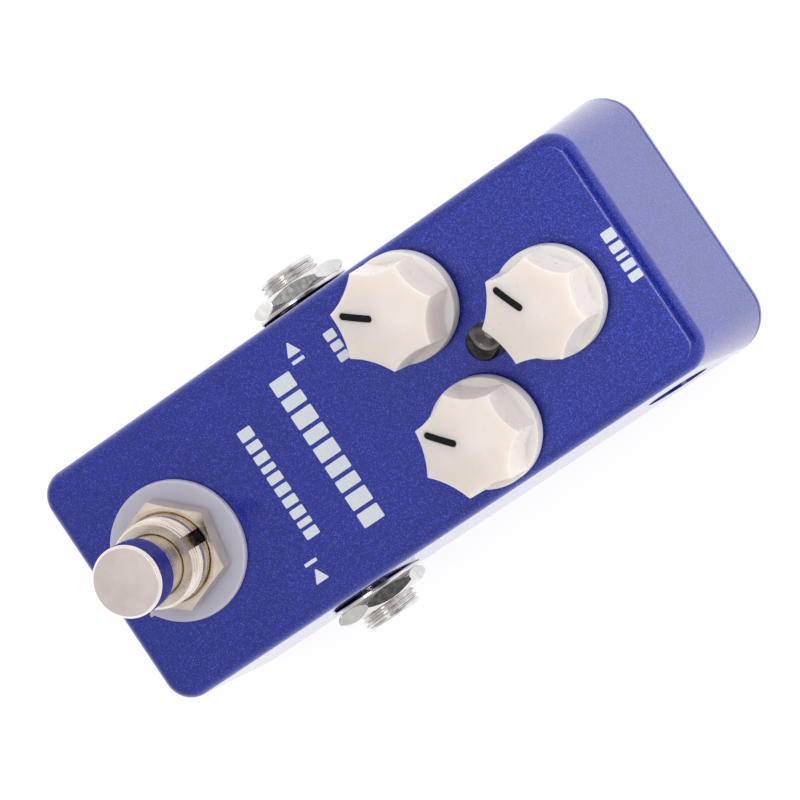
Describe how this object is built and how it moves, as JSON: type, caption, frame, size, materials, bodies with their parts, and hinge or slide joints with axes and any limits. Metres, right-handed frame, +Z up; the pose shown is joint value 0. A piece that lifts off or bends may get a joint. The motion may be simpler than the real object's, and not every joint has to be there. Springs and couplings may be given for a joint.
{
  "type": "guitar effects pedal",
  "caption": "Compact stomp-box effects pedal: drafted die-cast case with turning knobs, a latching foot switch, side jacks and a DC power socket.",
  "frame": {"origin": "centre of the footprint on the resting plane under the feet", "axes": "+Z up out of the top panel, +Y towards the knob end, +X towards the side with the input jack and the DC socket"},
  "size_m": [0.047, 0.0936, 0.047],
  "materials": {
    "enclosure_paint": "deep metallic blue with fine sparkle under a gloss clear coat",
    "zinc_screw": "zinc plated",
    "black_rubber": "matt rubber",
    "nylon": "translucent natural nylon",
    "nickel": "nickel plated, fine machining marks",
    "bright_chrome": "polished chrome",
    "blue_plastic": "moulded",
    "tinned_lugs": "tinned brass",
    "circuit_board": "solder mask",
    "spring_steel": "drawn wire",
    "knob_plastic": "satin cream, slightly translucent",
    "black_inlay": "gloss black",
    "smoked_lens": "smoked clear epoxy",
    "black_plastic": "moulded",
    "dull_nickel": "rolled sheet",
    "resistor_body": "lacquered",
    "cable_grey": "vinyl insulation",
    "cable_red": "vinyl insulation"
  },
  "bodies": {
    "enclosure": {"enclosure_shell": "enclosure_paint", "bottom_plate": "enclosure_paint", "plate_screws": "zinc_screw", "rubber_feet": "black_rubber", "footswitch_nylon_washer": "nylon", "footswitch_lock_washer": "dull_nickel", "footswitch_nut": "nickel", "footswitch_bushing": "nickel", "footswitch_inner_nut": "dull_nickel", "footswitch_housing": "blue_plastic", "footswitch_lugs": "tinned_lugs", "footswitch_board": "circuit_board", "footswitch_spring": "spring_steel", "main_board": "circuit_board", "potentiometer_left": "dull_nickel", "potentiometer_right": "dull_nickel", "potentiometer_top": "dull_nickel", "pot_legs": "tinned_lugs", "pot_washers": "dull_nickel", "pot_nuts": "nickel", "lamp_lens": "smoked_lens", "lamp_leads": "tinned_lugs", "capacitors": "black_plastic", "chips": "black_plastic", "chip_legs": "tinned_lugs", "resistors": "resistor_body", "dc_socket_body": "black_plastic", "dc_socket_pin": "nickel", "dc_socket_contacts": "tinned_lugs", "ribbon_cable": "cable_grey", "hookup_wires": "cable_red", "output_jack_sleeve": "nickel", "output_jack_washer": "dull_nickel", "output_jack_nut": "nickel", "output_jack_body": "black_plastic", "output_jack_contacts": "tinned_lugs", "input_jack_sleeve": "nickel", "input_jack_washer": "dull_nickel", "input_jack_nut": "nickel", "input_jack_body": "black_plastic", "input_jack_contacts": "tinned_lugs"},
    "left_knob": {"knob_left": "knob_plastic", "pointer_left": "black_inlay", "pot_shaft_left": "dull_nickel"},
    "right_knob": {"knob_right": "knob_plastic", "pointer_right": "black_inlay", "pot_shaft_right": "dull_nickel"},
    "top_knob": {"knob_top": "knob_plastic", "pointer_top": "black_inlay", "pot_shaft_top": "dull_nickel"},
    "switch_button": {"footswitch_plunger": "nickel", "footswitch_cap": "bright_chrome"}
  },
  "joints": [
    {"name": "left_knob_turn", "type": "hinge", "parent": "enclosure", "child": "left_knob", "pos_m": [-0.0097, 0.0145, 0.0285], "axis": [0, 0, 1], "range_deg": [-294.5, 5.5]},
    {"name": "right_knob_turn", "type": "hinge", "parent": "enclosure", "child": "right_knob", "pos_m": [0.0097, 0.0145, 0.0285], "axis": [0, 0, 1], "range_deg": [-284.5, 15.5]},
    {"name": "top_knob_turn", "type": "hinge", "parent": "enclosure", "child": "top_knob", "pos_m": [0.0004, 0.0317, 0.0285], "axis": [0, 0, 1], "range_deg": [-264.6, 35.4]},
    {"name": "button_press", "type": "slide", "parent": "enclosure", "child": "switch_button", "axis": [0, 0, -1], "range_m": [0, 0.003], "stiffness_N_per_m": 2500, "springref_m": -0.002, "deforming": ["footswitch_spring"]}
  ]
}
